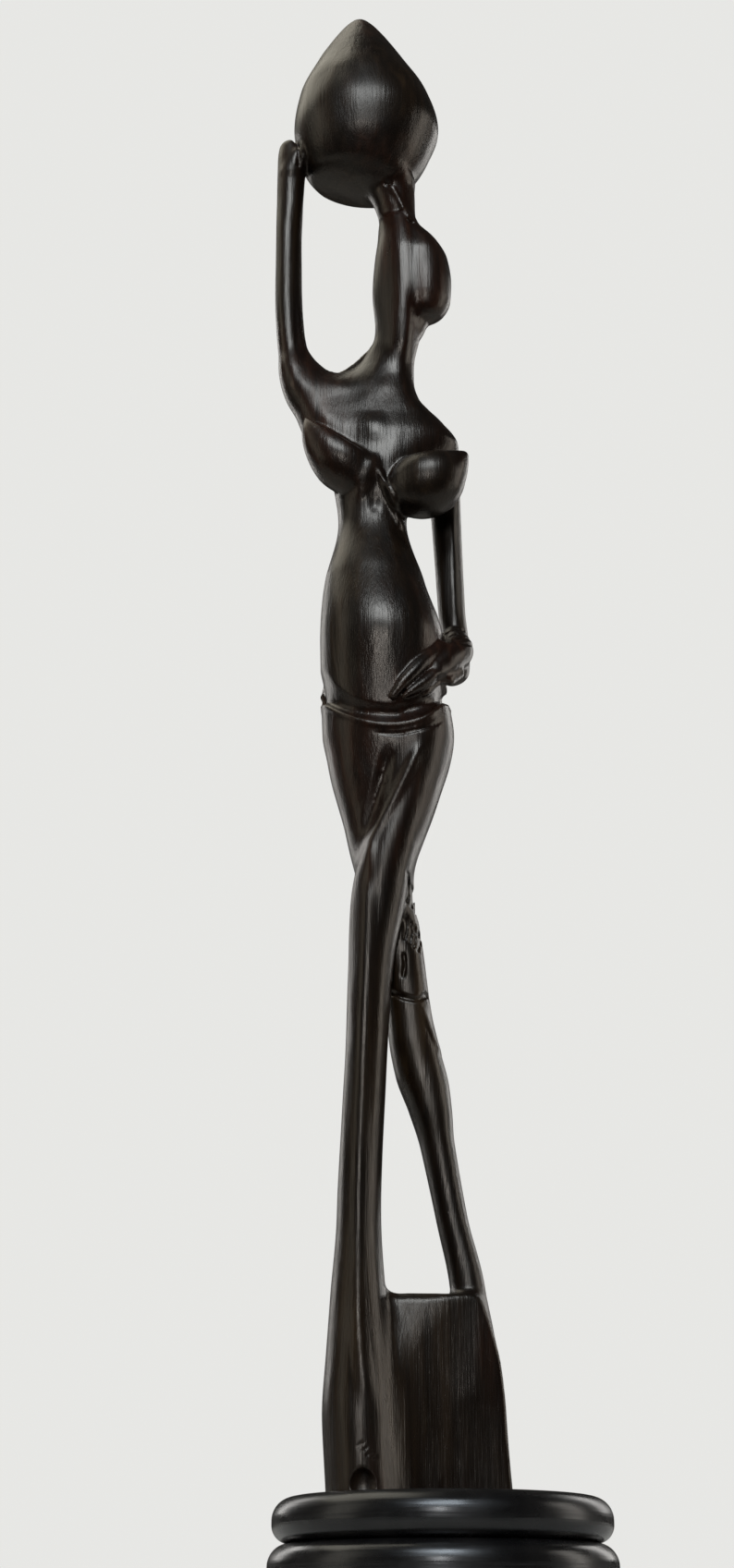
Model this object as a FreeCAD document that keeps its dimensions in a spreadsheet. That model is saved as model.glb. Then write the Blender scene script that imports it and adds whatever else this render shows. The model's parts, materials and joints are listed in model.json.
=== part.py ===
"""Tall carved hardwood figure of a woman steadying a load on her head, on a turned two-tier plinth.

Units are millimetres. +Z is up and the figure faces -Y. The origin is the centre of the plinth's
underside. The figure is one block of wood; the two plinth discs are turned; a dowel locates the
three, two countersunk screws draw them together from below, and felt covers the screw heads.
"""

import FreeCAD
import Part
import Sketcher
import os

from FreeCAD import Vector

# Driving dimensions: alias, value, what it is.
SIZES = [
    ("felt_thickness", 1.2, "felt under the plinth"),
    ("felt_radius", 43.0, "felt radius"),
    ("lower_thickness", 12.4, "lower disc thickness"),
    ("lower_radius", 46.4, "lower disc radius"),
    ("upper_thickness", 11.6, "upper disc thickness"),
    ("upper_radius", 45.3, "upper disc radius"),
    ("edge_top_fillet", 5.8, "rounding of a disc's upper edge"),
    ("edge_bottom_fillet", 4.6, "rounding of a disc's lower edge"),
    ("foot_centre", -6.0, "middle of the figure's foot, from the plinth's axis"),
    ("dowel_diameter", 8.0, "centre dowel"),
    ("dowel_clearance", 0.1, "dowel bore, over the dowel's diameter"),
    ("dowel_in_figure", 12.0, "length of dowel inside the figure"),
    ("dowel_in_lower", 7.0, "length of dowel inside the lower disc"),
    ("dowel_chamfer", 0.8, "chamfer on the dowel's ends"),
    ("bore_end_gap", 1.0, "air left past the end of a dowel or a screw"),
    ("screw_spacing", 26.0, "distance between the two screws"),
    ("screw_length", 42.0, "screw, over its countersunk head"),
    ("screw_diameter", 4.0, "screw shank and thread"),
    ("screw_core", 2.8, "screw thread root"),
    ("screw_head_diameter", 7.8, "countersunk head"),
    ("screw_head_height", 2.3, "countersunk head"),
    ("screw_head_sink", 0.3, "head below the disc's underside"),
    ("screw_point", 4.5, "length of the screw's point"),
    ("screw_pitch", 1.8, "thread pitch"),
    ("screw_threads", 9, "thread turns that bite in the figure"),
    ("screw_clearance", 0.5, "clearance hole over the screw's diameter"),
    ("pilot_clearance", 0.04, "pilot hole over the thread's diameter"),
    ("slot_width", 1.1, "screwdriver slot"),
    ("slot_depth", 1.1, "screwdriver slot"),
]

# Limbs lofted through ovals stacked up the figure. Each station: height, centre x, centre y,
# half width, half depth, measured from the plinth's axis and its top face.
UPRIGHT_LIMBS = {
    "front_leg": [
        ("sole", 0, -20.8, -4, 10.0, 16.0),
        ("hem", 20, -22.0, -4.5, 10.1, 15.0),
        ("ankle", 52, -22.4, -5.5, 7.6, 11.5),
        ("shin", 74, -22.2, -6.5, 6.1, 9.0),
        ("calf", 116, -20.3, -7.5, 5.9, 8.4),
        ("below_knee", 146, -18.8, -8.0, 6.5, 8.6),
        ("knee", 168, -16.2, -8.0, 8.0, 9.2),
        ("thigh", 196, -8.6, -5.5, 8.4, 11.0),
        ("hip", 218, -4.0, -2.0, 8.6, 14.0),
    ],
    "rear_leg": [
        ("sole", 0, 10.6, 1, 8.5, 13.0),
        ("hem", 22, 9.6, 2, 7.6, 12.0),
        ("ankle", 54, 8.0, 4, 4.9, 8.5),
        ("shin", 76, 3.6, 6, 4.5, 7.0),
        ("calf", 98, -0.4, 7, 6.0, 8.5),
        ("calf_bulge", 112, -3.0, 7, 6.6, 10.0),
        ("below_knee", 134, -7.6, 6, 6.4, 9.0),
        ("knee", 160, -11.0, 4.5, 6.2, 9.0),
        ("thigh", 188, -17.0, 0.5, 6.6, 8.5),
        ("hip", 206, -22.2, 2, 9.6, 14.0),
    ],
    "raised_arm": [
        ("armpit", 318, -30.5, 0, 6.8, 7.6),
        ("shoulder", 333, -38.4, 0, 6.2, 6.6),
        ("upper_arm", 350, -43.6, 0, 5.0, 5.4),
        ("elbow", 378, -45.0, 0, 4.8, 5.0),
        ("forearm", 406, -45.5, 0, 4.5, 4.8),
        ("palm", 424, -44.3, -0.5, 5.0, 5.2),
        ("fingertips", 431, -43.8, -0.5, 3.0, 3.4),
    ],
    "lowered_arm": [
        ("shoulder", 320, -2.0, 5, 6.4, 6.8),
        ("upper_arm", 304, 3.6, 8, 4.9, 5.6),
        ("mid_arm", 286, 5.3, 8, 4.6, 5.0),
        ("forearm", 264, 5.8, 7, 4.6, 5.0),
        ("wrist", 248, 6.6, 5, 4.9, 5.4),
        ("heel_of_hand", 237, 5.6, 1, 5.6, 6.4),
    ],
}
BROAD_LIMBS = {
    "foot": [
        ("sole", 0, -6.0, 0, 22.0, 9.5),
        ("hem", 26, -7.0, 0, 20.6, 8.0),
        ("top", 51.5, -8.0, 0, 17.0, 5.5),
    ],
    "trunk": [
        ("crotch", 176, -15.2, 0, 8.0, 7.6),
        ("thighs", 199, -13.6, 0, 14.6, 13.5),
        ("hips", 219, -14.2, 0.5, 19.4, 18.0),
        ("wrap_edge", 231, -15.2, -1.0, 18.8, 18.0),
        ("belly", 247, -15.4, -3.0, 18.8, 18.4),
        ("midriff", 268, -17.6, -2.0, 15.4, 14.6),
        ("waist", 290, -18.3, 0.0, 10.6, 10.2),
        ("ribs", 304, -17.0, 0.0, 12.6, 11.4),
        ("chest", 319, -14.6, 0.5, 19.0, 11.4),
        ("collar", 332, -12.6, 1.0, 11.6, 8.6),
        ("neck", 346, -11.2, 1.0, 6.6, 6.4),
        ("throat", 360, -10.2, 0.5, 6.0, 6.0),
        ("skull", 376, -8.6, 1.5, 7.0, 7.0),
    ],
    "load_neck": [
        ("crown", 384, -9.0, 0.5, 6.6, 6.4),
        ("middle", 398, -11.0, 0.5, 6.0, 5.8),
        ("under_load", 415, -14.5, 0.5, 9.0, 9.0),
    ],
    "load": [
        ("underside", 412.5, -16.5, 0.5, 8.0, 8.0),
        ("bowl", 416.5, -18.2, 0.5, 14.4, 14.2),
        ("shoulder", 424, -19.6, 0.5, 20.8, 20.4),
        ("rim", 436, -20.2, 0.5, 23.3, 22.6),
        ("upper", 448, -21.0, 0.5, 20.0, 19.4),
        ("cone", 462, -21.8, 0.5, 13.8, 13.4),
        ("tip", 473, -22.2, 0.5, 7.9, 7.7),
        ("crest", 479, -22.3, 0.5, 3.9, 3.8),
        ("point", 482, -22.3, 0.5, 1.6, 1.5),
    ],
}
# Limbs lofted through ovals strung along x. Each station: x, centre y, centre height, half
# depth, half height.
SIDEWAYS_LIMBS = {
    "shoulder_bar": [
        ("outer", -42.0, 0, 335, 5.4, 7.8),
        ("middle", -29.0, 0, 333.5, 6.0, 9.0),
        ("inner", -14.0, 0.5, 334, 7.0, 11.5),
    ],
    "right_breast": [
        ("root", -17.0, -6.5, 308.0, 7.4, 9.6),
        ("middle", -28.0, -8.5, 309.5, 7.6, 9.0),
        ("front", -36.0, -9.0, 313.5, 5.2, 6.2),
        ("nipple", -40.2, -9.0, 317.0, 2.2, 2.6),
    ],
    "left_breast": [
        ("root", -15.0, -6.5, 303.0, 7.4, 10.0),
        ("middle", -3.0, -9.5, 299.5, 8.4, 10.4),
        ("front", 6.5, -10.5, 302.0, 6.2, 7.0),
        ("nipple", 11.6, -11.0, 304.5, 2.8, 3.4),
    ],
    "resting_hand": [
        ("back", 10.6, 0.0, 239.0, 2.6, 3.0),
        ("knuckles", 6.5, -4.0, 237.5, 5.6, 6.0),
        ("fingers", -2.0, -12.5, 231.5, 4.4, 4.6),
        ("fingertips", -10.0, -18.0, 225.0, 2.0, 2.2),
    ],
}
# Egg shapes: centre x, y, height, then half width, half depth, half height.
EGGS = {
    "face": (-11.2, -1.0, 378.0, 7.3, 9.0, 19.5),
    "hair": (-0.6, 3.4, 381.0, 9.2, 10.0, 15.6),
}
# Sheet formulas that several pieces share.
NOWHERE = "0 * sizes.foot_centre"
PLINTH_TOP = "sizes.felt_thickness + sizes.lower_thickness + sizes.upper_thickness"
SCREW_REACH = "(sizes.screw_length + sizes.screw_head_sink - sizes.lower_thickness - sizes.upper_thickness)"
BORE_RADIUS = "(sizes.dowel_diameter / 2 + sizes.dowel_clearance)"
HEAD_RADIUS = "(sizes.screw_head_diameter / 2)"
SHANK_HOLE_RADIUS = "(sizes.screw_diameter / 2 + sizes.screw_clearance)"

# The two screws stand either side of the dowel.
SIDES = (("left", "-"), ("right", "+"))
# A circle is drawn at this radius before its constraint takes hold.
DRAWN_RADIUS = 2.0
# An edge is level when it rises less than this.
RIM_FLAT = 0.01

# A long limb is lofted in two lengths, which meet at this station.
MEETING_STATIONS = {"trunk": "waist", "front_leg": "below_knee", "rear_leg": "calf_bulge"}

UPRIGHT_FIELDS = ("z", "x", "y", "half_width", "half_depth")
SIDEWAYS_FIELDS = ("x", "y", "z", "half_depth", "half_height")
EGG_FIELDS = ("x", "y", "z", "half_width", "half_depth", "half_height")


def fill_sheet(doc):
    """Every driving dimension in one spreadsheet, a cell and an alias each."""
    sheet = doc.addObject("Spreadsheet::Sheet", "sizes")
    rows = [(alias, value) for alias, value, note in SIZES]
    for limbs, fields in (
        (UPRIGHT_LIMBS, UPRIGHT_FIELDS),
        (BROAD_LIMBS, UPRIGHT_FIELDS),
        (SIDEWAYS_LIMBS, SIDEWAYS_FIELDS),
    ):
        for limb, stations in limbs.items():
            for station, *values in stations:
                rows += [(f"{limb}_{station}_{f}", v) for f, v in zip(fields, values)]
    for egg, values in EGGS.items():
        rows += [(f"{egg}_{f}", v) for f, v in zip(EGG_FIELDS, values)]
    for number, (alias, value) in enumerate(rows, start=1):
        sheet.set(f"A{number}", alias)
        sheet.set(f"B{number}", str(value))
        sheet.setAlias(f"B{number}", alias)
    doc.recompute()
    return sheet


def plane(body, role):
    """One of a body's own origin planes or axes, by its role."""
    return next(f for f in body.Origin.OriginFeatures if f.Role == role)


def new_body(doc, label):
    body = doc.addObject("PartDesign::Body", label)
    body.Label = label
    return body


def bind(obj, **expressions):
    """Binds properties to sheet formulas. A double underscore stands for a dot."""
    for name, formula in expressions.items():
        obj.setExpression(name.replace("__", "."), formula)


def new_sketch(body, name, role="XY_Plane", **offset):
    """A sketch on an origin plane, moved by sheet formulas given for x, y and z."""
    sketch = body.newObject("Sketcher::SketchObject", name)
    sketch.AttachmentSupport = [(plane(body, role), "")]
    sketch.MapMode = "FlatFace"
    for axis, formula in offset.items():
        sketch.setExpression(f"AttachmentOffset.Base.{axis}", formula)
    return sketch


def named_constraint(sketch, name, formula, *constraint):
    index = sketch.addConstraint(Sketcher.Constraint(*constraint))
    sketch.renameConstraint(index, name)
    sketch.setExpression(f"Constraints.{name}", formula)


def draw_oval(sketch, along, across, along_formula, across_formula):
    """An ellipse about the sketch's origin with its given half sizes on the sketch's x and y."""
    centre = Vector(0, 0, 0)
    if along >= across:
        ellipse = Part.Ellipse(Vector(along, 0, 0), Vector(0, across, 0), centre)
        level, major, minor = "Horizontal", along_formula, across_formula
    else:
        ellipse = Part.Ellipse(Vector(0, across, 0), Vector(-along, 0, 0), centre)
        level, major, minor = "Vertical", across_formula, along_formula
    curve = sketch.addGeometry(ellipse, False)
    sketch.exposeInternalGeometry(curve)
    sketch.addConstraint(Sketcher.Constraint("Coincident", curve, 3, -1, 1))
    sketch.addConstraint(Sketcher.Constraint(level, curve + 1))
    major_length, minor_length = 2 * max(along, across), 2 * min(along, across)
    named_constraint(sketch, "major", f"2 * {major}", "Distance", curve + 1, major_length)
    named_constraint(sketch, "minor", f"2 * {minor}", "Distance", curve + 2, minor_length)


def draw_circle(sketch, radius, formula):
    circle = sketch.addGeometry(Part.Circle(Vector(0, 0, 0), Vector(0, 0, 1), radius), False)
    sketch.addConstraint(Sketcher.Constraint("Coincident", circle, 3, -1, 1))
    named_constraint(sketch, "radius", formula, "Radius", circle, radius)


def loft(body, name, sketches):
    feature = body.newObject("PartDesign::AdditiveLoft", name)
    feature.Refine = False
    feature.Profile = sketches[0]
    feature.Sections = sketches[1:]


def carve_limb(body, sheet, limb, stations, fields, role):
    """Lofts a limb through its ovals, which are bound to the limb's cells."""
    sketches = []
    for station, *_ in stations:
        cell = {f: f"{sheet.Name}.{limb}_{station}_{f}" for f in fields}
        value = {f: getattr(sheet, f"{limb}_{station}_{f}") for f in fields}
        along, across = fields[3:]
        if role == "XY_Plane":
            offset = {"x": cell["x"], "y": cell["y"], "z": cell["z"]}
        else:
            offset = {"x": cell["y"], "y": cell["z"], "z": cell["x"]}
        sketch = new_sketch(body, f"{limb}_{station}", role, **offset)
        draw_oval(sketch, value[along], value[across], cell[along], cell[across])
        sketches.append(sketch)
    names = [station for station, *_ in stations]
    meeting = names.index(MEETING_STATIONS.get(limb, names[-1]))
    loft(body, limb, sketches[:meeting + 1])
    if limb in MEETING_STATIONS:
        loft(body, f"{limb}_upper", sketches[meeting:])


def add_egg(body, sheet, egg):
    """An ellipsoid bound to its cells."""
    cell = {f: f"{sheet.Name}.{egg}_{f}" for f in EGG_FIELDS}
    feature = body.newObject("PartDesign::AdditiveEllipsoid", egg)
    feature.AttachmentSupport = [(plane(body, "XY_Plane"), "")]
    feature.MapMode = "FlatFace"
    feature.Angle1 = -90
    feature.Angle2 = 90
    bind(
        feature,
        Radius1=cell["half_height"],
        Radius2=cell["half_width"],
        Radius3=cell["half_depth"],
        AttachmentOffset__Base__x=cell["x"],
        AttachmentOffset__Base__y=cell["y"],
        AttachmentOffset__Base__z=cell["z"],
    )
    return feature


def screw_x(sign):
    """Where a screw stands: left of the figure's middle for "-", right of it for "+"."""
    return f"sizes.foot_centre {sign} sizes.screw_spacing / 2"


def pad_disc(body, name, radius, thickness):
    """A round pad standing on the body's XY plane."""
    sketch = new_sketch(body, f"{name}_outline")
    draw_circle(sketch, DRAWN_RADIUS, radius)
    feature = body.newObject("PartDesign::Pad", name)
    feature.Profile = sketch
    bind(feature, Length=thickness)
    body.Document.recompute()
    return feature


def round_rim(body, base, name, height, radius):
    """Rounds the rim that lies at a height on the disc."""
    edges = [
        f"Edge{number}"
        for number, edge in enumerate(base.Shape.Edges, start=1)
        if edge.BoundBox.ZLength < RIM_FLAT and abs(edge.BoundBox.ZMin - height) < RIM_FLAT
    ]
    feature = body.newObject("PartDesign::Fillet", name)
    feature.Base = (base, edges)
    bind(feature, Radius=radius)
    body.Document.recompute()
    return feature


def bore(body, name, x, radius, depth, start=NOWHERE, upward=True):
    """A round hole from a height, up or down into the body."""
    sketch = new_sketch(body, f"{name}_outline", x=x, z=start)
    draw_circle(sketch, DRAWN_RADIUS, radius)
    feature = body.newObject("PartDesign::Pocket", name)
    feature.Profile = sketch
    feature.Reversed = upward
    bind(feature, Length=depth)
    return feature


def build_figure(doc, sheet):
    """The figure, carved from one block with its load: limbs, head, then the bores in its sole."""
    body = new_body(doc, "carved_figure")
    for limbs, fields, role in (
        (BROAD_LIMBS, UPRIGHT_FIELDS, "XY_Plane"),
        (UPRIGHT_LIMBS, UPRIGHT_FIELDS, "XY_Plane"),
        (SIDEWAYS_LIMBS, SIDEWAYS_FIELDS, "YZ_Plane"),
    ):
        for limb, stations in limbs.items():
            carve_limb(body, sheet, limb, stations, fields, role)
    for egg in EGGS:
        add_egg(body, sheet, egg)
    bore(body, "dowel_bore", "sizes.foot_centre", BORE_RADIUS, "sizes.dowel_in_figure + sizes.bore_end_gap")
    pilot_radius = "sizes.screw_diameter / 2 + sizes.pilot_clearance"
    for side, sign in SIDES:
        bore(body, f"pilot_{side}", screw_x(sign), pilot_radius, f"{SCREW_REACH} + sizes.bore_end_gap")
    bind(body, Placement__Base__z=PLINTH_TOP)
    return body


def build_disc(doc, sheet, tier):
    """A turned plinth disc: a pad with its rims rounded, bored for the dowel and the screws."""
    body = new_body(doc, f"plinth_{tier}_disc")
    thickness = f"sizes.{tier}_thickness"
    disc = pad_disc(body, f"{tier}_pad", f"sizes.{tier}_radius", thickness)
    top = sheet.get(f"{tier}_thickness")
    disc = round_rim(body, disc, f"{tier}_top_rim", top, "sizes.edge_top_fillet")
    round_rim(body, disc, f"{tier}_bottom_rim", 0, "sizes.edge_bottom_fillet")
    for side, sign in SIDES:
        bore(body, f"{tier}_screw_hole_{side}", screw_x(sign), SHANK_HOLE_RADIUS, thickness)
    return body


def build_upper_disc(doc, sheet):
    body = build_disc(doc, sheet, "upper")
    bore(body, "dowel_hole", "sizes.foot_centre", BORE_RADIUS, "sizes.upper_thickness")
    bind(body, Placement__Base__z="sizes.felt_thickness + sizes.lower_thickness")
    return body


def build_lower_disc(doc, sheet):
    """The lower disc also has the dowel's blind socket and the screws' countersinks."""
    body = build_disc(doc, sheet, "lower")
    bore(
        body, "dowel_socket", "sizes.foot_centre", BORE_RADIUS,
        "sizes.dowel_in_lower + sizes.bore_end_gap", start="sizes.lower_thickness", upward=False,
    )
    for side, sign in SIDES:
        sink = body.newObject("PartDesign::SubtractiveCone", f"countersink_{side}")
        sink.AttachmentSupport = [(plane(body, "XY_Plane"), "")]
        sink.MapMode = "FlatFace"
        bind(
            sink,
            Radius1=f"{HEAD_RADIUS} + 2 * sizes.screw_head_sink",
            Radius2="sizes.screw_diameter / 2",
            Height="sizes.screw_head_height + 2 * sizes.screw_head_sink",
            AttachmentOffset__Base__x=screw_x(sign),
        )
    bind(body, Placement__Base__z="sizes.felt_thickness")
    return body


def build_dowel(doc):
    """A chamfered hardwood dowel through the upper disc into the figure and the lower disc."""
    body = new_body(doc, "locating_dowel")
    peg = body.newObject("PartDesign::AdditiveCylinder", "peg")
    length = "sizes.dowel_in_lower + sizes.upper_thickness + sizes.dowel_in_figure"
    bind(peg, Radius="sizes.dowel_diameter / 2", Height=length)
    doc.recompute()
    ends = body.newObject("PartDesign::Chamfer", "chamfered_ends")
    ends.Base = (peg, [
        f"Edge{number}"
        for number, edge in enumerate(peg.Shape.Edges, start=1)
        if edge.BoundBox.ZLength < RIM_FLAT
    ])
    bind(ends, Size="sizes.dowel_chamfer")
    bind(
        body,
        Placement__Base__x="sizes.foot_centre",
        Placement__Base__z="sizes.felt_thickness + sizes.lower_thickness - sizes.dowel_in_lower",
    )
    return body


def stack_cone(body, name, foot, height, low_radius, high_radius):
    """A cone standing at a height on the body's axis, joined to what is there."""
    cone = body.newObject("PartDesign::AdditiveCone", name)
    cone.AttachmentSupport = [(plane(body, "XY_Plane"), "")]
    cone.MapMode = "FlatFace"
    bind(cone, Radius1=low_radius, Radius2=high_radius, Height=height, AttachmentOffset__Base__z=foot)
    return cone


def build_screw(doc, sheet, side, sign):
    """A slotted countersunk wood screw, head down: head, shank, thread turns and point."""
    body = new_body(doc, f"fixing_screw_{side}")
    thread = "sizes.screw_threads * sizes.screw_pitch"
    shank_end = f"(sizes.screw_length - sizes.screw_point - {thread})"
    point_foot = "(sizes.screw_length - sizes.screw_point)"
    shank, core = "(sizes.screw_diameter / 2)", "(sizes.screw_core / 2)"
    half_turn = "sizes.screw_pitch / 2"
    stack_cone(body, f"head_{side}", NOWHERE, "sizes.screw_head_height", HEAD_RADIUS, shank)
    shank_length = f"{shank_end} - sizes.screw_head_height"
    rod = body.newObject("PartDesign::AdditiveCylinder", f"shank_{side}")
    core_rod = body.newObject("PartDesign::AdditiveCylinder", f"core_{side}")
    for cylinder, foot, height, radius in (
        (rod, "sizes.screw_head_height", shank_length, shank),
        (core_rod, shank_end, thread, core),
    ):
        cylinder.AttachmentSupport = [(plane(body, "XY_Plane"), "")]
        cylinder.MapMode = "FlatFace"
        bind(cylinder, Radius=radius, Height=height, AttachmentOffset__Base__z=foot)
    rise = stack_cone(body, f"turn_rise_{side}", shank_end, half_turn, core, shank)
    fall = stack_cone(body, f"turn_fall_{side}", f"{shank_end} + {half_turn}", half_turn, shank, core)
    turns = body.newObject("PartDesign::LinearPattern", f"turns_{side}")
    turns.Originals = [rise, fall]
    turns.Direction = (plane(body, "Z_Axis"), [""])
    turns.Occurrences = int(sheet.get("screw_threads"))
    bind(turns, Length="(sizes.screw_threads - 1) * sizes.screw_pitch")
    body.Tip = turns
    stack_cone(body, f"point_{side}", point_foot, "sizes.screw_point", core, "sizes.screw_core / 20")
    slot = body.newObject("PartDesign::SubtractiveBox", f"slot_{side}")
    slot.AttachmentSupport = [(plane(body, "XY_Plane"), "")]
    slot.MapMode = "FlatFace"
    bind(
        slot,
        Length="sizes.slot_width",
        Width="sizes.screw_head_diameter",
        Height="sizes.slot_depth",
        AttachmentOffset__Base__x="-sizes.slot_width / 2",
        AttachmentOffset__Base__y="-sizes.screw_head_diameter / 2",
    )
    bind(
        body,
        Placement__Base__x=screw_x(sign),
        Placement__Base__z="sizes.felt_thickness + sizes.screw_head_sink",
    )
    return body


def build_felt(doc):
    body = new_body(doc, "base_felt")
    pad_disc(body, "felt_pad", "sizes.felt_radius", "sizes.felt_thickness")
    return body


def check(doc, pieces):
    """Stops before anything is written if a feature failed or a piece isn't one valid solid."""
    failed = [o.Name for o in doc.Objects if {"Invalid", "Error"} & set(o.State)]
    if failed:
        raise RuntimeError(f"failed features: {failed}")
    for piece in pieces:
        shape = piece.Shape
        if shape.isNull() or not shape.isValid() or len(shape.Solids) != 1:
            raise RuntimeError(f"{piece.Label} isn't one valid solid")
        box = shape.optimalBoundingBox(False)
        sides = f"{box.XLength:.1f} x {box.YLength:.1f} x {box.ZLength:.1f}"
        print(f"{piece.Label}: {sides} mm, {shape.Volume / 1000:.2f} cm3")


def main():
    doc = FreeCAD.newDocument("carved_figure_on_plinth")
    sheet = fill_sheet(doc)
    pieces = [
        build_figure(doc, sheet),
        build_upper_disc(doc, sheet),
        build_lower_disc(doc, sheet),
        build_dowel(doc),
        *(build_screw(doc, sheet, side, sign) for side, sign in SIDES),
        build_felt(doc),
    ]
    doc.recompute()
    check(doc, pieces)
    os.makedirs("parts", exist_ok=True)
    for piece in pieces:
        piece.Shape.exportStep(f"parts/{piece.Label}.step")


main()
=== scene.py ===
"""Carved hardwood figure on a turned plinth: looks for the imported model.

The figure is sculpted as a block of signed distances: limbs, head and load are smooth solids that
flow into each other, and gouges, ridges and facets are pressed into them. Sculpting sizes are in
millimetres from the plinth's axis and its top face; +Z is up and the figure faces -Y.

BLOCK_LOW and BLOCK_HIGH are opposite corners of the block, and FRONT is the y where cuts from the
front begin. OPEN_AIR is the distance that an empty block holds, and FAR_AWAY is more than any real one.
"""

import json
import math

import bpy
import numpy as np
import openvdb
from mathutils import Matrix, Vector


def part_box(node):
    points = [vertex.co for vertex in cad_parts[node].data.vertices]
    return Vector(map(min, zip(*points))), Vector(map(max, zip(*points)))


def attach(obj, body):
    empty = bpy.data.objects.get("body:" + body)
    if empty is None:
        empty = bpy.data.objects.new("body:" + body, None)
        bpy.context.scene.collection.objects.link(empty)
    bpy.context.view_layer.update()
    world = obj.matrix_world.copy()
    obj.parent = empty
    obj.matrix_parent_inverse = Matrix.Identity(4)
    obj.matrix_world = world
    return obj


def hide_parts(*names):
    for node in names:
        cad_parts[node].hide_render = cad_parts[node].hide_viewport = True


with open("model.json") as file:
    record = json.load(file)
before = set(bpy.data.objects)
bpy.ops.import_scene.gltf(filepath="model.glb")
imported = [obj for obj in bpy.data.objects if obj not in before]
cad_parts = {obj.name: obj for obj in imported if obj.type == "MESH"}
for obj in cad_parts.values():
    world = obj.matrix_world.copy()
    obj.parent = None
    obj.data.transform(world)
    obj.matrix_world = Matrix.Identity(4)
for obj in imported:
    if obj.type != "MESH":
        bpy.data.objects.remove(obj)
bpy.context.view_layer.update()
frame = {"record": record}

MM = 0.001
PLINTH_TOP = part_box("plinth_upper_disc")[1][2]
VOXEL = 0.5
MOST_TRIANGLES = 188_000
BLOCK_LOW, BLOCK_HIGH = (-54, -27, -1.5), (24, 27, 486)
FRONT = -26
OPEN_AIR = 30.0
FAR_AWAY = 1e3


# ---------------------------------------------------------------- sculpting tools

def soft_min(a, b, blend):
    """The smaller of two distances, with the crease between them filled over a width."""
    near = np.maximum(blend - np.abs(a - b), 0) / blend
    return np.minimum(a, b) - near * near * blend * 0.25


def soft_max(a, b, blend):
    return -soft_min(-a, -b, blend)


def soft_step(value):
    """0 below 0, 1 above 1 and smooth in between."""
    t = np.clip(value, 0, 1)
    return t * t * (3 - 2 * t)


def smooth_rows(rows, places):
    """Rows of numbers, the first one rising, read on smooth curves that never overshoot."""
    table = np.array(rows, float)
    key, values = table[:, 0], table[:, 1:]
    gap = np.diff(key)[:, None]
    slope = np.diff(values, axis=0) / gap
    tangent = np.empty_like(values)
    tangent[0], tangent[-1] = slope[0], slope[-1]
    before, after = slope[:-1], slope[1:]
    same_way = before * after > 0
    tangent[1:-1] = np.where(same_way, 2 * before * after / np.where(same_way, before + after, 1), 0)
    places = np.clip(places, key[0], key[-1])
    i = np.clip(np.searchsorted(key, places) - 1, 0, len(key) - 2)
    t = ((places - key[i]) / (key[i + 1] - key[i]))[:, None]
    reach = (key[i + 1] - key[i])[:, None]
    return (
        values[i] * (1 + 2 * t) * (1 - t) ** 2
        + tangent[i] * reach * t * (1 - t) ** 2
        + values[i + 1] * t * t * (3 - 2 * t)
        + tangent[i + 1] * reach * t * t * (t - 1)
    )


def smooth_path(points, pieces=6):
    """Points along a Catmull-Rom curve through the given ones."""
    values = np.array(points, float)
    ends = np.vstack([2 * values[0] - values[1], values, 2 * values[-1] - values[-2]])
    places = np.linspace(0, len(values) - 1, pieces * (len(values) - 1) + 1)
    i = np.clip(places.astype(int), 0, len(values) - 2)
    t = (places - i)[:, None]
    a, b, c, d = ends[i], ends[i + 1], ends[i + 2], ends[i + 3]
    bend = (2 * a - 5 * b + 4 * c - d) * t ** 2 + (3 * b - a - 3 * c + d) * t ** 3
    return 0.5 * (2 * b + (c - a) * t + bend)


class Column:
    """Ovals stacked upwards. A row is height, centre x, centre y, half width, half depth.

    power 2 is a true oval, more is boxier, less has a ridge at each of its four ends.
    """

    def __init__(self, rows, power=2.0, end=1.5):
        self.rows, self.power, self.end = rows, power, end

    def box(self):
        table = np.array(self.rows, float)
        low = (table[:, 1] - table[:, 3]).min(), (table[:, 2] - table[:, 4]).min(), table[0, 0]
        high = (table[:, 1] + table[:, 3]).max(), (table[:, 2] + table[:, 4]).max(), table[-1, 0]
        return np.array(low), np.array(high)

    def distance(self, x, y, z):
        height = z.ravel()
        read = smooth_rows(self.rows, height).astype(np.float32)
        centre_x, centre_y, width, depth = (column[None, None, :] for column in read.T)
        across, along = np.abs(x - centre_x) + 1e-3, np.abs(y - centre_y) + 1e-3
        p = self.power
        size = ((across / width) ** p + (along / depth) ** p) ** (1 / p)
        steep_x, steep_y = across ** (p - 1) / width ** p, along ** (p - 1) / depth ** p
        side = (size - 1) * size ** (p - 1) / np.sqrt(steep_x ** 2 + steep_y ** 2)
        rise = np.gradient(side, float(height[1] - height[0]), axis=2)
        side = side / np.sqrt(1 + rise * rise)
        ends = np.maximum(self.rows[0][0] - z, z - self.rows[-1][0])
        return soft_max(side, np.broadcast_to(ends, side.shape), self.end)


class Egg:
    """An ellipsoid."""

    def __init__(self, centre, radii):
        self.centre, self.radii = np.array(centre, float), np.array(radii, float)

    def box(self):
        return self.centre - self.radii, self.centre + self.radii

    def distance(self, x, y, z):
        inner = outer = 0
        for place, centre, radius in zip((x, y, z), self.centre, self.radii):
            inner = inner + ((place - centre) / radius) ** 2
            outer = outer + ((place - centre) / radius ** 2) ** 2
        size = np.sqrt(inner)
        return (size * (size - 1) / np.maximum(np.sqrt(outer), 1e-6)).astype(np.float32)


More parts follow.
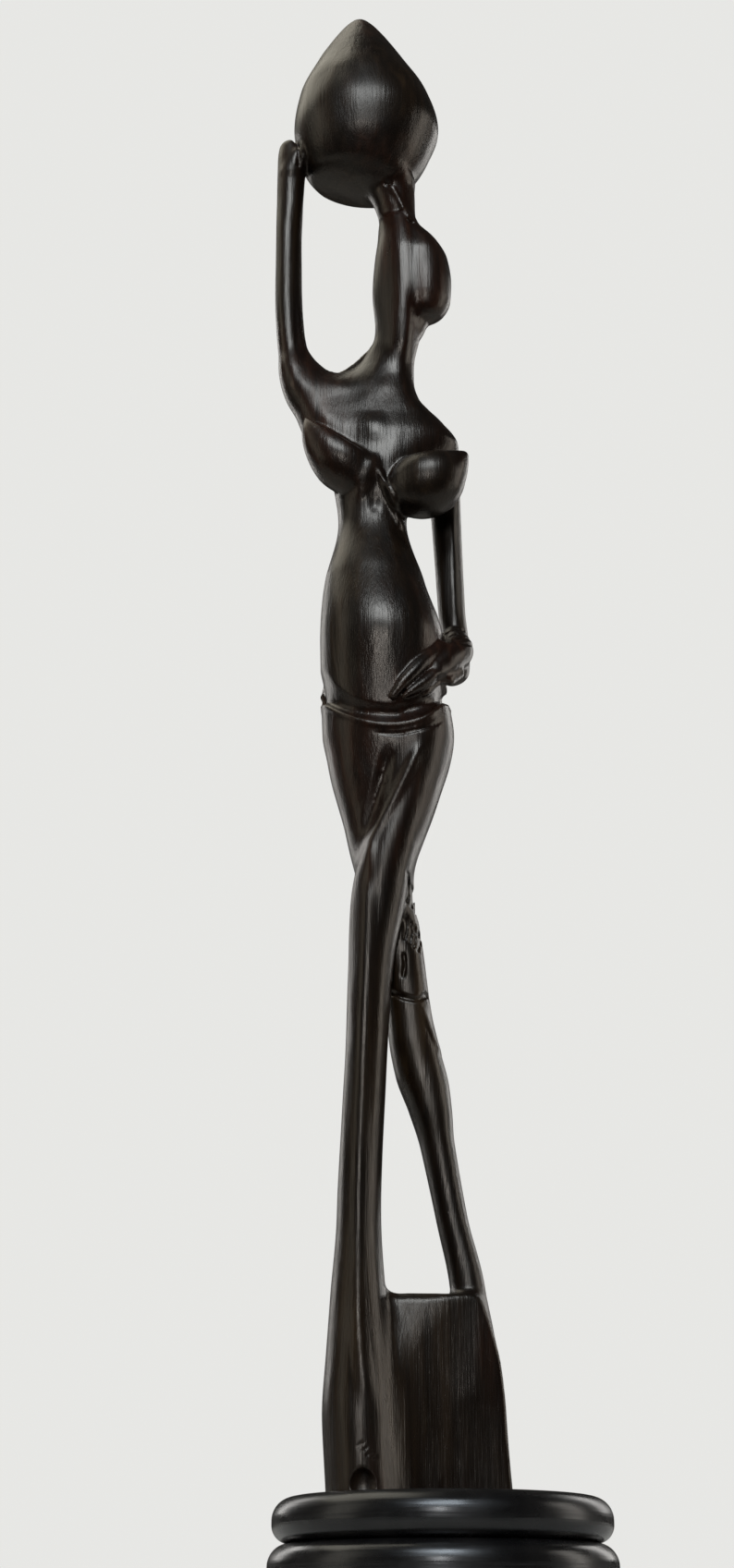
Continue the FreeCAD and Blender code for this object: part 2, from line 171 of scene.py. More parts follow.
class Tube:
    """A round rod of changing radius along a smooth path. A point is x, y, z, radius."""

    def __init__(self, *points):
        self.path = smooth_path(points)

    def box(self):
        size = self.path[:, 3:4]
        return (self.path[:, :3] - size).min(axis=0), (self.path[:, :3] + size).max(axis=0)

    def distance(self, x, y, z):
        nearest = np.float32(FAR_AWAY)
        for a, b in zip(self.path[:-1], self.path[1:]):
            step = b[:3] - a[:3]
            px, py, pz = x - a[0], y - a[1], z - a[2]
            t = np.clip((px * step[0] + py * step[1] + pz * step[2]) / (step @ step), 0, 1)
            gap = np.sqrt((px - t * step[0]) ** 2 + (py - t * step[1]) ** 2 + (pz - t * step[2]) ** 2)
            nearest = np.minimum(nearest, gap - (a[3] + t * (b[3] - a[3])))
        return nearest.astype(np.float32)


class Sliced:
    """A solid with what lies beyond some planes cut off. A plane is a point and an outward normal."""

    def __init__(self, solid, *planes, edge=0.8):
        self.solid, self.planes, self.edge = solid, planes, edge

    def box(self):
        return self.solid.box()

    def distance(self, x, y, z):
        field = self.solid.distance(x, y, z)
        for point, normal in self.planes:
            unit = np.array(normal, float) / np.linalg.norm(normal)
            beyond = (x - point[0]) * unit[0] + (y - point[1]) * unit[1] + (z - point[2]) * unit[2]
            field = soft_max(field, beyond.astype(np.float32), self.edge)
        return field


class Bevel:
    """A round-ended slot cut from the front: radius wide at y_from, and wider the nearer the front.

    Its foot and top are x and z. The wood reaches less than a depth ahead of y_from.
    """

    depth = 20

    def __init__(self, foot, top, radius, y_from, spread):
        self.foot, self.top, self.radius, self.y_from, self.spread = foot, top, radius, y_from, spread

    def box(self):
        reach = self.radius + self.depth * self.spread
        low = min(self.foot[0], self.top[0]) - reach, FRONT, self.foot[1] - reach
        high = max(self.foot[0], self.top[0]) + reach, self.y_from, self.top[1] + reach
        return np.array(low, float), np.array(high, float)

    def distance(self, x, y, z):
        t = np.clip((z - self.foot[1]) / (self.top[1] - self.foot[1]), 0, 1)
        gap = np.hypot(x - self.foot[0] - t * (self.top[0] - self.foot[0]),
                       z - self.foot[1] - t * (self.top[1] - self.foot[1]))
        wide = self.radius + (self.y_from - y) * self.spread
        return ((gap - wide) / math.hypot(1, self.spread)).astype(np.float32)


def biggest_shell(points, quads):
    """Only the largest connected shell, without the bubbles that can form where solids meet."""
    labels = np.arange(len(points))
    settled = False
    while not settled:
        spread = labels.copy()
        np.minimum.at(spread, quads.ravel(), np.repeat(labels[quads].min(axis=1), 4))
        spread = spread[spread]
        settled = np.array_equal(spread, labels)
        labels = spread
    kept = labels == np.bincount(labels).argmax()
    number = np.cumsum(kept) - 1
    return points[kept], number[quads[kept[quads[:, 0]]]]


class Clay:
    """A block of signed distances in millimetres, negative inside the wood."""

    def __init__(self, low, high, step):
        self.low, self.step = np.array(low, float), step
        self.shape = [int(round((b - a) / step)) + 1 for a, b in zip(low, high)]
        self.field = np.full(self.shape, OPEN_AIR, np.float32)

    def window(self, low, high):
        """The part of the block between two corners: its slices and its x, y and z."""
        slices, axes = [], []
        for axis in range(3):
            first = max(0, int(math.floor((low[axis] - self.low[axis]) / self.step)))
            last = min(self.shape[axis], int(math.ceil((high[axis] - self.low[axis]) / self.step)) + 1)
            slices.append(slice(first, last))
            axes.append((self.low[axis] + self.step * np.arange(first, last)).astype(np.float32))
        return tuple(slices), *np.meshgrid(*axes, indexing="ij", sparse=True)

    def add(self, solid, blend=1.0, margin=7.0):
        """Join a solid on. The blend is a width, or rows of height and width."""
        low, high = solid.box()
        slices, x, y, z = self.window(low - margin, high + margin)
        if not np.isscalar(blend):
            blend = smooth_rows(blend, z.ravel())[:, 0].astype(np.float32)[None, None, :]
        self.field[slices] = soft_min(self.field[slices], solid.distance(x, y, z), blend)

    def cut(self, solid, blend=0.5, margin=3.0):
        low, high = solid.box()
        slices, x, y, z = self.window(low - margin, high + margin)
        self.field[slices] = soft_max(self.field[slices], -solid.distance(x, y, z), blend)

    def press(self, path, width, depth, y_from=FRONT, y_to=0, fade=2.0, taper=0.0, sharp=1.0):
        """Push the surface in along a line drawn on the front view, as a gouge does.

        A negative depth raises a ridge. It acts between two y values, and thins out over a
        length at both ends of the line. A higher sharp makes the trough narrower at its bottom.
        """
        line = smooth_path(path, 4)
        low, high = line.min(axis=0) - width, line.max(axis=0) + width
        slices, x, y, z = self.window((low[0], y_from - fade, low[1]), (high[0], y_to + fade, high[1]))
        length = np.concatenate([[0], np.cumsum(np.linalg.norm(np.diff(line, axis=0), axis=1))])
        gap = np.full(np.broadcast(x, z).shape, FAR_AWAY)
        along = np.zeros_like(gap)
        for a, b, start in zip(line[:-1], line[1:], length):
            step = b - a
            t = np.clip(((x - a[0]) * step[0] + (z - a[1]) * step[1]) / (step @ step), 0, 1)
            here = np.hypot(x - a[0] - t * step[0], z - a[1] - t * step[1])
            closer = here < gap
            gap = np.where(closer, here, gap)
            along = np.where(closer, start + t * np.linalg.norm(step), along)
        amount = soft_step(1 - gap / width) ** sharp * depth
        if taper:
            amount = amount * soft_step(along / taper) * soft_step((length[-1] - along) / taper)
        within = soft_step((y - y_from) / fade + 1) * soft_step((y_to - y) / fade + 1)
        self.field[slices] += (amount * within).astype(np.float32)

    def ripple(self, seed, cell, depth):
        """Low, smooth unevenness over the whole surface. A cell is its size in x, y and z."""
        draw = np.random.RandomState(seed)
        coarse = [max(4, int(n * self.step / c) + 3) for n, c in zip(self.shape, cell)]
        field = draw.uniform(-1, 1, coarse).astype(np.float32)
        for axis, (count, size) in enumerate(zip(self.shape, cell)):
            place = np.arange(count) * self.step / size
            first = place.astype(int)
            t = soft_step(place - first).astype(np.float32)
            t = t.reshape([-1 if a == axis else 1 for a in range(3)])
            field = np.take(field, first, axis) * (1 - t) + np.take(field, first + 1, axis) * t
        self.field += field * depth

    def mesh(self, name):
        """The surface as a mesh in metres, cut off flat where it stands on the plinth."""
        self.field[:, :, : int(round(-self.low[2] / self.step))] = 1.0
        grid = openvdb.FloatGrid(OPEN_AIR)
        grid.copyFromArray(self.field)
        points, quads = biggest_shell(*grid.convertToQuads(0.0)[:2])
        points = (points * self.step + self.low) * MM + (0, 0, PLINTH_TOP)
        mesh = bpy.data.meshes.new(name)
        mesh.from_pydata(points.tolist(), [], quads.tolist())
        mesh.shade_smooth()
        return mesh


# ---------------------------------------------------------------- the figure

TRUNK = [
    (164, -14.8, -1, 3.4, 3.6), (176, -15.2, 0, 7.4, 7.6), (199, -13.6, 0, 14.2, 13.5),
    (210, -13.8, 0.2, 17.5, 16.4), (219, -14.2, 0.4, 19.2, 18), (231, -15.2, -1, 18.6, 18),
    (247, -15.4, -3, 18.8, 18.4), (268, -17.6, -2, 15.4, 14.6), (290, -18.3, 0, 10.6, 10.2),
    (304, -17, 0, 13.6, 11.2), (318, -13, 0.5, 20.9, 10.8), (326, -12.3, 1, 15.4, 9.8),
    (334, -12.2, 1, 9, 8.4), (341, -11.7, 1, 6.8, 7), (349, -11.3, 1, 6.5, 6.2),
    (356, -10, 0.8, 6.6, 6), (362, -8.8, 0.8, 7.8, 6.4), (370, -8.6, 0.8, 7.4, 6.6),
    (384, -9.2, 0.6, 5.9, 6.2), (400, -9.8, 0.6, 5.7, 5.9),
]
FACE = [
    (334, -11.6, 1, 3, 4), (345, -11.2, 0, 4, 5.2), (353, -10.8, -1.8, 5.4, 6.6),
    (361, -11, -2.2, 6.4, 7.6), (374, -11.3, -2.5, 7.8, 8.2), (386, -10.8, -2.4, 7.2, 8),
    (394, -10.3, -1.8, 6, 7), (402, -9.4, -1, 4.2, 5),
]
HAIR = [
    (363.6, -0.8, -1.6, 3.4, 4.2), (366.5, -1, -0.6, 6.4, 7.2), (371, -1.2, 0.4, 8.3, 9.4),
    (379, -1.4, 1, 8.9, 10.4), (386, -1.9, 1.2, 8.5, 10.2), (392, -3.1, 1.2, 6.9, 8.8),
    (396.5, -4.8, 1, 4.8, 6.6), (400, -6.8, 0.8, 2.6, 4.2),
]
LOAD_NECK = [
    (388, -8.6, 0.5, 6.4, 6), (396, -9, 0.6, 6.6, 6), (403, -10, 0.8, 6.1, 6),
    (411, -11.4, 1, 7.2, 7), (418, -14, 1, 9.8, 9.4),
]
LOAD = [
    (413, -15.5, 1, 5.6, 5.6), (415.2, -17, 1, 11.6, 10.6), (419.6, -21.5, 0.8, 17.4, 16.2),
    (427.5, -21.1, 0.6, 21.7, 20.4), (438, -20.2, 0.5, 24.1, 21.8), (450, -21, 0.5, 21.7, 19.6),
    (462.6, -21.9, 0.5, 15.5, 14.4), (472.4, -22.2, 0.5, 9.9, 9.4), (479, -22.3, 0.5, 5.4, 5.2),
    (482.8, -22.3, 0.5, 2, 2),
]
RAISED_ARM = [
    (316, -29, 0, 6, 7), (326, -35, 0, 6.4, 7.2), (333, -38.2, 0, 6.1, 6.8),
    (341, -41.5, 0, 5.4, 6), (350, -43.3, 0, 5.1, 5.4), (360, -44.6, 0, 4.6, 5),
    (378, -45.4, 0, 4.4, 4.8), (392, -45.5, 0, 4.3, 4.6), (407, -45.4, 0, 4.3, 4.6),
    (416, -45.2, -0.3, 4.5, 4.8), (424, -44.9, -0.5, 4.7, 5), (429, -45.2, -0.5, 4, 4.3),
    (432.4, -45.4, -0.5, 2.4, 2.8),
]
LOWERED_ARM = [
    (235.6, 5.8, -1, 3.6, 4), (240, 6.4, 1, 4.8, 6), (248, 7.6, 5, 3.9, 5.2), (264, 6.2, 7, 4.2, 5),
    (286, 5.4, 8, 4.5, 5), (304, 4.4, 7, 5, 5.6), (317, 2, 4, 6.2, 7), (324, -2, 3, 5.6, 6),
]
FRONT_LEG = [
    (-1, -20.8, -4, 10, 16.2), (20, -22, -4.5, 10.1, 15), (36, -22.2, -5, 8.9, 13.2),
    (52, -22.4, -5.5, 7.6, 11.5), (74, -22.2, -6.5, 6.1, 9), (116, -20.3, -7.5, 5.9, 8.4),
    (146, -18.8, -8, 6.5, 8.6), (168, -16.2, -8, 8, 9.2), (196, -8.6, -5.5, 8.2, 11),
    (217, -4, -2, 8.6, 14), (232, -4, -2, 6.6, 12),
]
REAR_LEG = [
    (28, 7.4, 2.4, 4.6, 6), (44, 8.6, 3.2, 5.2, 7.2), (54, 8, 4, 4.9, 7.4), (76, 3.6, 6, 4.5, 7),
    (96, 0, 7, 5, 8.2), (106, -1.9, 7, 6.2, 9.2), (116, -4.4, 7, 7.4, 9.6),
    (124, -6.2, 6.6, 7.2, 9.6), (134, -7.8, 6, 6.6, 9), (160, -11, 4.5, 6.4, 9),
    (188, -17.2, 0.5, 7.2, 9), (206, -20.4, 1.5, 8.6, 13), (224, -19, 1, 9, 13),
]
FOOT_PANEL = [
    (-1, 2.8, 0, 15.9, 13), (20, 1.7, 0.4, 15.8, 12.6), (34, 1, 0.8, 15.2, 11.6),
    (44, -0.6, 1.4, 14.4, 10.4), (53, -2, 2, 13.2, 9.4),
]


def shape_legs(clay):
    """Crossed legs that grow out of one block for both feet."""
    panel = Column(FOOT_PANEL, power=5, end=3)
    front_face = (0, -8.2, 20), (0.2, -0.98, 0.01)
    corner_face = (15.9, -6.6, 20), (0.78, -0.62, 0.05)
    clay.add(Sliced(panel, front_face, corner_face, edge=1), 1)
    clay.add(Column(REAR_LEG, power=2.3), [(28, 5), (60, 2.5), (200, 4)])
    clay.add(Column(FRONT_LEG), [(0, 7), (45, 6), (62, 2), (150, 1.2), (180, 3), (215, 6)])


def shape_trunk(clay):
    """Hips to neck, and the shoulders, which rise on both sides of the arm's loop."""
    clay.add(Column(TRUNK, power=2.1, end=3), [(176, 6), (230, 5), (300, 2)])
    clay.add(Tube((-39, 0, 337.6, 5.2), (-32, 0, 336.6, 6.4), (-21, 0.4, 337, 7)), 7)
    clay.add(Tube((-39.6, 0, 344, 6), (-34, 0, 340, 7), (-27.8, 0, 338.8, 7.4), (-21, 0.2, 342, 7.8),
                  (-15, 0.4, 349, 7), (-11, 0.6, 357, 5.6)), 3)


def shape_breasts(clay):
    """Two carved cones, each cut off flat above by one gouge stroke."""
    left = Tube((-24.4, -6.5, 304.6, 7.8), (-28.5, -7.6, 307.8, 8.4), (-33, -8.4, 312.8, 6.6),
                (-36.2, -8.8, 317.6, 4.2), (-38, -8.8, 322, 1.7))
    clay.add(Sliced(left, ((-31, -8, 318.4), (0.5, -0.42, 0.76)), edge=0.5), 1.2)
    right = Tube((-6, -7.5, 298, 8.4), (-1.4, -9, 299.6, 10.6), (3, -10, 302.2, 7.8),
                 (6.8, -10.8, 305.6, 4.6), (9, -11, 307.8, 2.5))
    clay.add(Sliced(right, ((0, -12, 308.6), (-0.1, -0.25, 0.96)), edge=1.6), 1.2)


def shape_arms(clay):
    """One arm up to the load and one down to the hip, with the chest filled out between them."""
    clay.add(Column(RAISED_ARM, end=2.5), [(316, 5), (345, 6), (380, 1)])
    clay.add(Egg((-25, 1, 324), (13, 8.4, 12)), 6)
    clay.add(Column(LOWERED_ARM, power=1.8, end=3), [(240, 1), (300, 1.5), (318, 5)])


def shape_hand_on_hip(clay):
    """A fist with three long fingers laid along the wrap's rim."""
    fist = Tube((6.6, 2, 251, 4.2), (7.3, -2.5, 245.5, 5), (3.6, -8.5, 239.6, 4.8), (0, -12.4, 235, 3.8))
    clay.add(fist, 1)
    fingers = [
        [(2, -10.6, 243, 2.3), (-4, -16.6, 235, 2.2), (-9, -18.9, 228.5, 1.8), (-12.4, -19.2, 224, 1)],
        [(4.4, -9, 238.6, 2.6), (-0.8, -15, 231.6, 2.3), (-6, -17.8, 226.4, 1.7), (-9, -18.6, 223.6, 1)],
        [(6.6, -6, 236.8, 2.7), (2.4, -11.6, 231, 2.2), (-2, -15.4, 226, 1.7), (-5, -17.2, 223.6, 1)],
    ]
    for finger in fingers:
        clay.add(Tube(*finger), 0.8)


def shape_head(clay):
    """A blank oval face, with the bevel that runs from it down the neck and round the arm's loop."""
    clay.add(Column(FACE, power=2.2, end=1), 2.5)
    clay.cut(Bevel((-27.8, 352.8), (-29.4, 394), 9.3, -1.6, 1.15), 5)
    clay.add(Column(HAIR, end=1.2), 3)
    clay.add(Column(LOAD_NECK), 1.6)


def shape_load(clay):
    """The pointed load, and the fingertips that steady it."""
    clay.add(Column(LOAD, end=1.6), 1.6)
    clay.add(Tube((-45, -2.6, 419, 3), (-41.6, -4, 425, 2.8), (-38.6, -5.6, 429, 1.6)), 1.6)


def press_details(clay):
    """Creases, ridges and gouge marks, each a line on the front view."""
    press = clay.press
    # the wrap's rolled rim under the belly, and the dark recess above it
    press([(-36, 236.5), (-31, 227.8), (-24, 221.8), (-16, 219.4), (-7, 220), (0, 224.4), (3, 230)],
          3.0, 1.7, y_to=0, sharp=0.7)
    press([(-9, 221.6), (-2, 225), (3, 230)], 3, 1.2, y_to=4)
    press([(-35, 230.5), (-31, 224), (-25, 218.6), (-18, 215.8), (-10, 215.6), (-2, 218.4), (2.6, 225)],
          1.4, -0.45, y_to=2)
    press([(-19, 213.3), (-10, 212.9), (-1, 215.6), (3, 220)], 0.8, 0.5, y_to=2, taper=5)
    press([(-38, 236), (-26, 238), (-14, 238.4), (-4, 236), (7, 230)], 2.6, 0.9, y_from=2, y_to=27)
    press([(-38, 231.4), (-26, 233.6), (-14, 234), (-4, 231.8), (7, 226)], 1.6, -0.6, y_from=0, y_to=27)
    # crossing thighs: a crease, the ridge beside it and a few chisel nicks
    press([(-12.8, 211), (-16.6, 197), (-21, 181)], 3.2, 1.0, taper=8)
    press([(-2.7, 212), (-8.6, 200), (-15, 188), (-19, 180), (-20.2, 168)], 2.8, -1.0, taper=10)
    for nick in range(4):
        x, z = -17.6 + 0.9 * nick, 194 + 3.8 * nick - 4 * (nick % 2)
        press([(x, z), (x + 0.7, z - 3)], 0.55, 0.2)
    # the shin's ridge
    press([(-20.2, 172), (-20.5, 147), (-21.6, 119), (-22.2, 80), (-22.4, 52), (-21.6, 36), (-18.8, 18)],
          3.6, -0.8, taper=12)
    # rough knee of the leg behind: chatter streaks, a chipped step and a facet edge under it
    for streak in range(9):
        x, z = -9.6 + 0.62 * streak, 143 + (streak * 11) % 23
        press([(x, z), (x + 0.5, z + 3.2), (x + 0.2, z + 6.4)], 0.75, 0.8, y_to=6)
    press([(-12.6, 138.6), (-9, 136.8), (-5.4, 136.4), (-3, 138.6)], 1.2, 1.0, y_to=6)
    press([(-4.4, 135.4), (-1.6, 128), (1.4, 121)], 1.3, -0.5, y_to=8, taper=3)
    # scooped toe and the chatter marks above it
    clay.cut(Egg((-21, -21.2, 2.4), (4.2, 3.6, 4.2)), 0.3)
    for mark in range(4):
        x, z = -22.4 + 1.2 * mark, 11.6 - 1.1 * mark
        press([(x, z), (x + 1.4, z + 1)], 0.5, 0.35)
    # bands between the breasts
    press([(-17.4, 310), (-19, 301), (-25, 293)], 3.4, -1.2, taper=5)
    press([(-18, 326), (-17.6, 312)], 6, -0.7, taper=6)
    press([(-17, 305), (-13.4, 295), (-8.4, 284)], 1.9, -1.2, taper=4)
    press([(-17.6, 297), (-17.8, 288)], 2.8, 0.7, taper=4)
    # arm and hand
    press([(6.9, 300), (6.9, 290), (7.2, 255)], 1.8, -0.5, y_from=-4, y_to=5, taper=8)
    for line in range(4):
        press([(4 + line, 251.5 - 2.4 * line), (9.5 + line, 254.5 - 2.4 * line)], 0.6, 0.45, y_to=6)
    press([(-44.6, 433), (-42.6, 427), (-42.6, 420)], 1.1, 0.7, y_to=2)
    # neck of the load: a thin spine, a hollow beside it and a chip at each end
    press([(-12.6, 412), (-9.6, 407), (-5.6, 398.4)], 1.5, -0.6, taper=2)
    press([(-14.6, 403.4), (-10.6, 402.6)], 3, 0.5)
    for x, z in ((-12.8, 412.4), (-5.8, 397.6)):
        press([(x - 0.8, z), (x + 0.8, z)], 0.9, 0.8)


def carve_figure():
    clay = Clay(BLOCK_LOW, BLOCK_HIGH, VOXEL)
    shape_legs(clay)
    shape_trunk(clay)
    shape_arms(clay)
    shape_breasts(clay)
    shape_hand_on_hip(clay)
    shape_head(clay)
    shape_load(clay)
    press_details(clay)
    clay.ripple(3, (6, 6, 16), 0.10)
    clay.ripple(8, (2.4, 2.4, 9), 0.05)
    return clay.mesh("figure")


def place_figure():
    """The sculpted figure, thinned to at most MOST_TRIANGLES triangles, in place of the CAD one."""
    figure = bpy.data.objects.new("figure", carve_figure())
    bpy.context.scene.collection.objects.link(figure)
    triangles = 2 * len(figure.data.polygons)
    if triangles > MOST_TRIANGLES:
        thinner = figure.modifiers.new("thinner", "DECIMATE")
        thinner.ratio = MOST_TRIANGLES / triangles
    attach(figure, "root")
    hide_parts("carved_figure")
    return figure


# ---------------------------------------------------------------- materials

class Recipe:
    """A node material under construction."""

    def __init__(self, name, base, roughness):
        self.material = bpy.data.materials.new(name)
        self.material.use_nodes = True
        self.nodes = self.material.node_tree.nodes
        self.links = self.material.node_tree.links
        self.shader = self.nodes["Principled BSDF"]
        self.shader.inputs["Base Color"].default_value = (*base, 1)
        self.shader.inputs["Roughness"].default_value = roughness
        self.place = self.nodes.new("ShaderNodeTexCoord").outputs["Object"]

    def node(self, kind, **inputs):
        made = self.nodes.new(kind)
        for name, value in inputs.items():
            socket = made.inputs[name.replace("_", " ")]
            if isinstance(value, bpy.types.NodeSocket):
                self.links.new(value, socket)
            else:
                socket.default_value = value
        return made

    def stretched(self, scale):
        made = self.node("ShaderNodeMapping", Vector=self.place)
        made.inputs["Scale"].default_value = scale
        return made.outputs["Vector"]

    def noise(self, scale, detail=4.0, roughness=0.55, distortion=0.0):
        made = self.node("ShaderNodeTexNoise", Vector=self.stretched(scale), Scale=1.0, Detail=detail,
                         Roughness=roughness, Distortion=distortion)
        return made.outputs["Fac"]

    def ramp(self, value, *stops):
        """A colour for each value. A stop is a place and a colour or a grey."""
        made = self.node("ShaderNodeValToRGB", Fac=value)
        elements = made.color_ramp.elements
        while len(elements) < len(stops):
            elements.new(0.5)
        for element, (place, shade) in zip(elements, stops):
            element.position = place
            element.color = (*shade, 1) if isinstance(shade, tuple) else (shade, shade, shade, 1)
        return made.outputs["Color"]

    def mix(self, share, first, second, blend="MIX"):
        made = self.nodes.new("ShaderNodeMix")
        made.data_type = "RGBA"
        made.blend_type = blend
        for index, value in ((0, share), (6, first), (7, second)):
            socket = made.inputs[index]
            if isinstance(value, bpy.types.NodeSocket):
                self.links.new(value, socket)
            else:
                socket.default_value = value if index == 0 else (*value, 1)
        return made.outputs[2]

    def map_range(self, value, low, high, start=0.3, end=0.7):
        made = self.node("ShaderNodeMapRange", Value=value)
        made.inputs["From Min"].default_value = start
        made.inputs["From Max"].default_value = end
        made.inputs["To Min"].default_value = low
        made.inputs["To Max"].default_value = high
        return made.outputs["Result"]

    def bump(self, height, distance, strength=1.0, under=None):
        made = self.node("ShaderNodeBump", Height=height, Distance=distance, Strength=strength)
        if under is not None:
            self.links.new(under, made.inputs["Normal"])
        return made.outputs["Normal"]

    def give(self, **sockets):
        for name, value in sockets.items():
            socket = self.shader.inputs[name.replace("_", " ")]
            if isinstance(value, bpy.types.NodeSocket):
                self.links.new(value, socket)
            else:
                socket.default_value = value
        return self.material


def figure_wood():
    """Dark heartwood, hand polished: brown streaks, edges rubbed paler, and olive and reddish patches that
    are partly the wood's own tone and partly painted sheen.
    """
    wood = Recipe("figure_wood", (0.02, 0.013, 0.009), 0.3)
    broad = wood.noise((22, 22, 9), detail=3)
    grain = wood.noise((380, 380, 16), detail=6, distortion=0.4)
    pores = wood.noise((2400, 2400, 90), detail=2)
    rubbed = wood.noise((70, 70, 30), detail=5)
    colour = wood.ramp(grain, (0.3, (0.0022, 0.0012, 0.0008)), (0.5, (0.006, 0.0034, 0.0022)),
                       (0.75, (0.015, 0.009, 0.0056)))
    # olive and reddish patches at random: partly the wood's own tone, partly painted sheen standing in for
    # reflections of the room
    tone_and_sheen_tint = wood.ramp(broad, (0.36, (1.7, 1.6, 1.1)), (0.5, (0.7, 0.65, 0.6)), (0.64, (2.2, 1.25, 1.0)))
    colour = wood.mix(1.0, colour, tone_and_sheen_tint, "MULTIPLY")
    edge = wood.map_range(wood.nodes.new("ShaderNodeNewGeometry").outputs["Pointiness"], 0, 0.5, 0.52, 0.6)
    colour = wood.mix(edge, colour, (0.06, 0.038, 0.025))
    rough = wood.map_range(rubbed, 0.24, 0.38)
    normal = wood.bump(pores, 0.0003, 0.25)
    normal = wood.bump(grain, 0.0005, 0.3, normal)
    return wood.give(Base_Color=colour, Roughness=rough, Normal=normal, Specular_IOR_Level=0.42,
                     Specular_Tint=(1, 0.9, 0.79, 1))


def plinth_wood():
    wood = Recipe("plinth_wood", (0.012, 0.011, 0.011), 0.3)
    rings = wood.noise((30, 30, 900), detail=3)
    streak = wood.noise((90, 90, 12), detail=5)
    colour = wood.ramp(streak, (0.3, (0.002, 0.002, 0.0022)), (0.7, (0.008, 0.0072, 0.007)))
    rough = wood.map_range(wood.noise((70, 70, 160), detail=4), 0.2, 0.38)
    normal = wood.bump(rings, 0.0003, 0.3)
    return wood.give(Base_Color=colour, Roughness=rough, Normal=normal, Specular_IOR_Level=0.4,
                     Coat_Weight=0.1, Coat_Roughness=0.2)


def beech():
    wood = Recipe("dowel_wood", (0.5, 0.36, 0.22), 0.5)
    grain = wood.noise((500, 500, 30), detail=5)
    colour = wood.ramp(grain, (0.3, (0.38, 0.26, 0.15)), (0.7, (0.62, 0.46, 0.29)))
    return wood.give(Base_Color=colour, Roughness=wood.map_range(grain, 0.45, 0.6),
                     Normal=wood.bump(grain, 0.0003, 0.3))


def brass():
    metal = Recipe("screw_brass", (0.72, 0.5, 0.22), 0.3)
    marks = metal.noise((900, 900, 300), detail=4)
    colour = metal.ramp(marks, (0.3, (0.55, 0.37, 0.15)), (0.7, (0.80, 0.60, 0.28)))
    return metal.give(Base_Color=colour, Metallic=1.0, Roughness=metal.map_range(marks, 0.2, 0.42),
                      Normal=metal.bump(marks, 0.0001, 0.2))


def felt():
    cloth = Recipe("felt", (0.03, 0.05, 0.035), 0.95)
    fibres = cloth.noise((1500, 1500, 1500), detail=6, distortion=1.5)
    colour = cloth.ramp(fibres, (0.3, (0.014, 0.026, 0.018)), (0.7, (0.045, 0.072, 0.052)))
    return cloth.give(Base_Color=colour, Normal=cloth.bump(fibres, 0.0004, 0.6), Sheen_Weight=0.4)


MATERIALS = {"figure_wood": figure_wood, "plinth_wood": plinth_wood, "dowel_wood": beech,
             "screw_brass": brass, "felt": felt}


def dress(figure):
    """Give the sculpted figure and every CAD node the material of its slot."""
    made = {slot: recipe() for slot, recipe in MATERIALS.items()}
    figure.data.materials.append(made["figure_wood"])
    for part in frame["record"]["subparts"]:
        node = bpy.data.objects.get(part["node"])
        for slot in node.material_slots:
            slot.material = made[part["material_slot"]]


# ---------------------------------------------------------------- the room and the camera

def lay_floor():
    """A broad pale shelf. Its front edge stops behind the camera's lowest line of sight."""
    low, high = (-1.6, -0.15, -0.03), (1.6, 1.9, 0)
    corners = [[(low, high)[i][0], (low, high)[j][1], (low, high)[k][2]] for k, j, i in np.ndindex(2, 2, 2)]
    sides = [(0, 2, 3, 1), (4, 5, 7, 6), (0, 1, 5, 4), (2, 6, 7, 3), (0, 4, 6, 2), (1, 3, 7, 5)]
    floor = bpy.data.meshes.new("floor")
    floor.from_pydata(corners, [], sides)
    floor_object = bpy.data.objects.new("floor", floor)
    bpy.context.scene.collection.objects.link(floor_object)
    paint = Recipe("floor_paint", (0.6, 0.59, 0.57), 0.7)
    mottle = paint.noise((6, 6, 6))
    floor.materials.append(paint.give(
        Base_Color=paint.ramp(mottle, (0.3, (0.55, 0.54, 0.52)), (0.7, (0.64, 0.63, 0.61)))))


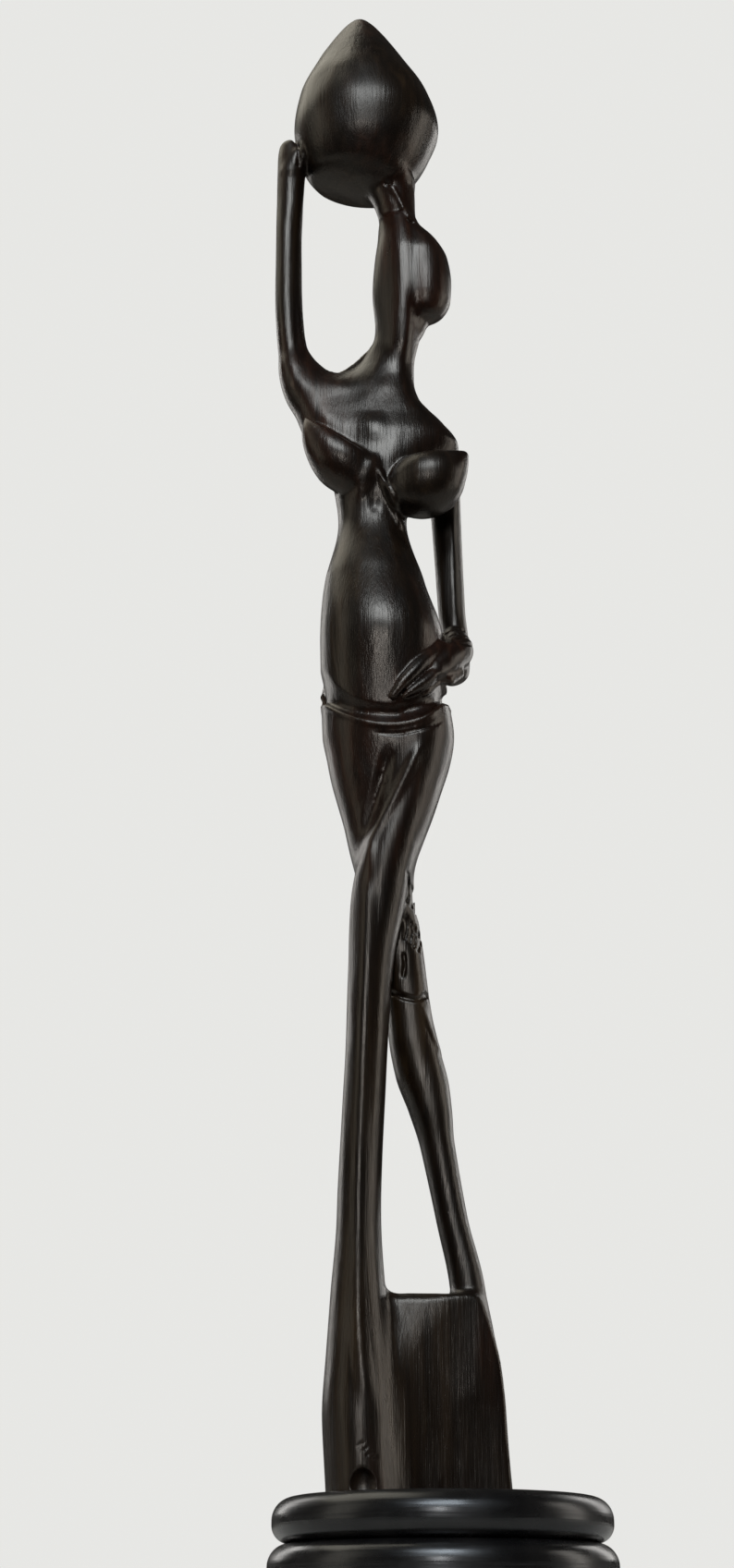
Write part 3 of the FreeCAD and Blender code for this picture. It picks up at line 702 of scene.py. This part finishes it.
def light_room():
    world = bpy.data.worlds.new("pale_room")
    world.use_nodes = True
    nodes, links = world.node_tree.nodes, world.node_tree.links
    paper = nodes["Background"]
    paper.inputs["Color"].default_value = (0.80, 0.80, 0.78, 1)
    room = nodes.new("ShaderNodeBackground")
    room.inputs["Color"].default_value = (0.90, 0.86, 0.78, 1)
    room.inputs["Strength"].default_value = 0.04
    choice = nodes.new("ShaderNodeMixShader")
    links.new(nodes.new("ShaderNodeLightPath").outputs["Is Camera Ray"], choice.inputs["Fac"])
    links.new(room.outputs["Background"], choice.inputs[1])
    links.new(paper.outputs["Background"], choice.inputs[2])
    links.new(choice.outputs["Shader"], nodes["World Output"].inputs["Surface"])
    bpy.context.scene.world = world
    bpy.context.scene.view_settings.view_transform = "Standard"
    lamps = {
        # place, aim, width, height, power, colour
        "skylight": ((-0.04, -1.4, 1.36), (0, 0, 0.34), 0.8, 0.6, 22, (0.80, 0.90, 1.0)),
        "door_gap": ((-0.09, -1.5, 0.42), (0, 0, 0.15), 0.08, 0.4, 5, (0.95, 0.97, 1.0)),
        "left_wall": ((-1.7, -0.5, 0.7), (0, 0, 0.28), 0.8, 1.4, 3.5, (1.0, 0.96, 0.84)),
        "ceiling": ((-0.9, 0.4, 2.0), (0, 0, 0.3), 1.4, 1.6, 13, (1.0, 0.96, 0.82)),
        "back_left": ((-1.2, 1.5, 0.9), (0, 0, 0.26), 0.5, 1.2, 6, (1.0, 0.98, 0.95)),
        "back_right": ((1.2, 1.5, 0.9), (0, 0, 0.26), 0.5, 1.2, 6, (1.0, 0.98, 0.95)),
        "right_wall": ((1.5, 0.15, 0.5), (0, 0, 0.25), 0.5, 1.2, 5, (1.0, 0.95, 0.88)),
    }
    for name, (place, aim, width, height, power, colour) in lamps.items():
        light = bpy.data.lights.new(name, "AREA")
        light.shape = "RECTANGLE"
        light.size, light.size_y = width, height
        light.energy, light.color = power, colour
        lamp = bpy.data.objects.new(name, light)
        lamp.location = place
        toward = [a - b for a, b in zip(aim, place)]
        lamp.rotation_euler = (
            math.atan2(math.hypot(toward[0], toward[1]), -toward[2]), 0, math.atan2(-toward[0], toward[1])
        )
        bpy.context.scene.collection.objects.link(lamp)


def set_camera():
    """Low in front and a little to the left, tilted up, fitted to the photograph's perspective."""
    left, back, below_plinth_top = 0.01998, 0.6304, 0.0376
    tilt_from_straight_down = 110.92
    data = bpy.data.cameras.new("camera")
    data.sensor_width = 36
    data.lens = 51.97
    camera = bpy.data.objects.new("camera", data)
    camera.location = (-left, -back, PLINTH_TOP - below_plinth_top)
    camera.rotation_euler = (math.radians(tilt_from_straight_down), 0, 0)
    bpy.context.scene.collection.objects.link(camera)
    bpy.context.scene.camera = camera


figure = place_figure()
dress(figure)
lay_floor()
light_room()
set_camera()

bpy.context.view_layer.update()
